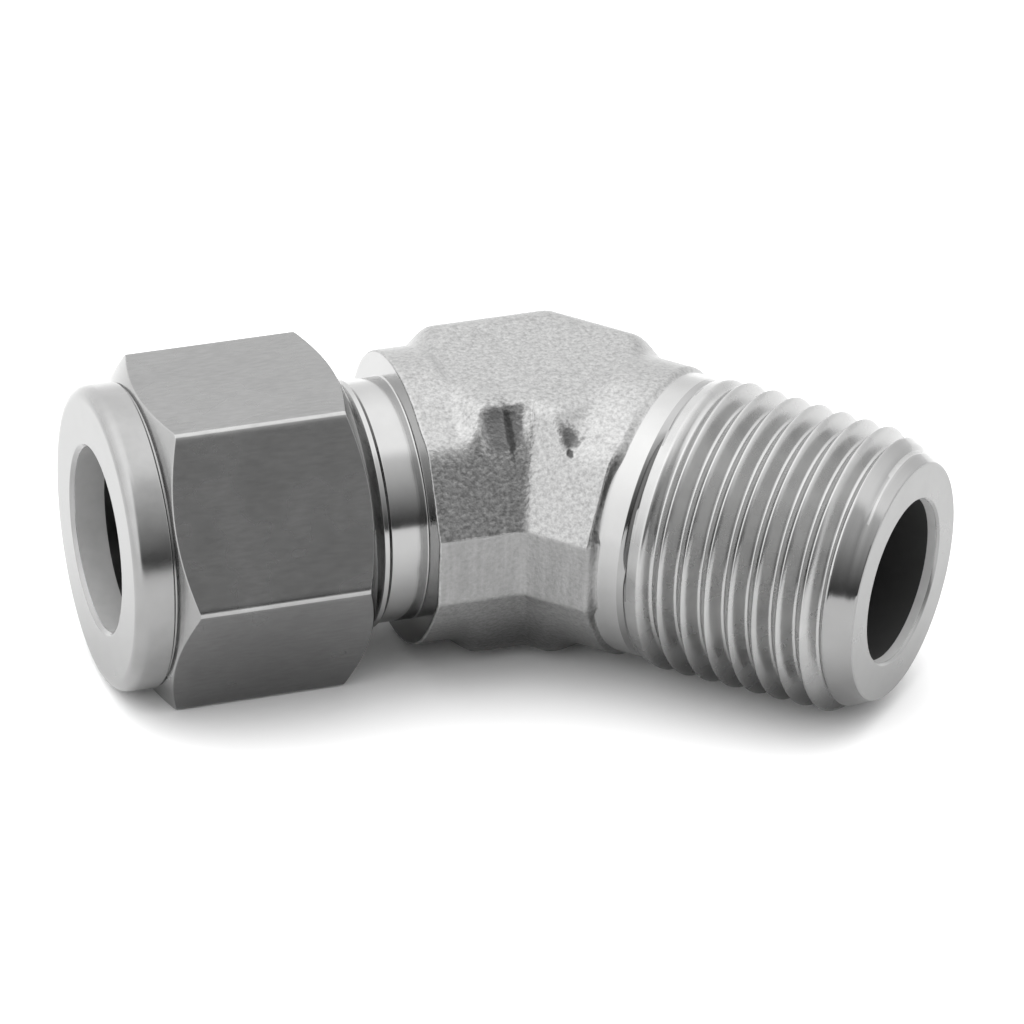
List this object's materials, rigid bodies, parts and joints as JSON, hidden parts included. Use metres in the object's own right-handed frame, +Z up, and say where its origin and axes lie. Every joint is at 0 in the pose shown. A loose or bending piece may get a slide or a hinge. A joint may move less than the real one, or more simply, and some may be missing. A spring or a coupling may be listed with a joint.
{
  "type": "male elbow tube fitting",
  "caption": "Bent metal tube fitting: a hex compression nut with ferrules on one end, a forged elbow body, and a male taper pipe thread on the other.",
  "frame": {"origin": "the point where the centrelines of the tube end and the pipe end cross, 11.11 mm above the surface that the fitting lies on", "axes": "-X out of the tube end through the nut, +Z up; the pipe end points to +X and -Y, 45 degrees off the line of the tube end, and leans 2.3 degrees about that line, so that its thread rests on the surface with the nut's flat"},
  "size_m": [0.0595, 0.0395, 0.0222],
  "materials": {
    "forged_body": "bead-blasted forging with turned necks and threads",
    "machined_nut": "satin machined",
    "ferrule": "bright turned"
  },
  "bodies": {
    "elbow": {"elbow_body": "forged_body"},
    "ferrules": {"front_ferrule": "ferrule", "back_ferrule": "ferrule"},
    "nut": {"nut": "machined_nut"}
  },
  "joints": [
    {"name": "nut_travel", "type": "slide", "parent": "elbow", "child": "ferrules", "axis": [-1, 0, 0], "range_m": [0, 0.00445]},
    {"name": "nut_turn", "type": "hinge", "parent": "ferrules", "child": "nut", "pos_m": [-0.024, 0, 0], "axis": [-1, 0, 0], "range_deg": [0, 1260]}
  ],
  "couplings": [
    {"joint": "nut_travel", "follows": "nut_turn", "m_per_rad": 0.00020213}
  ]
}
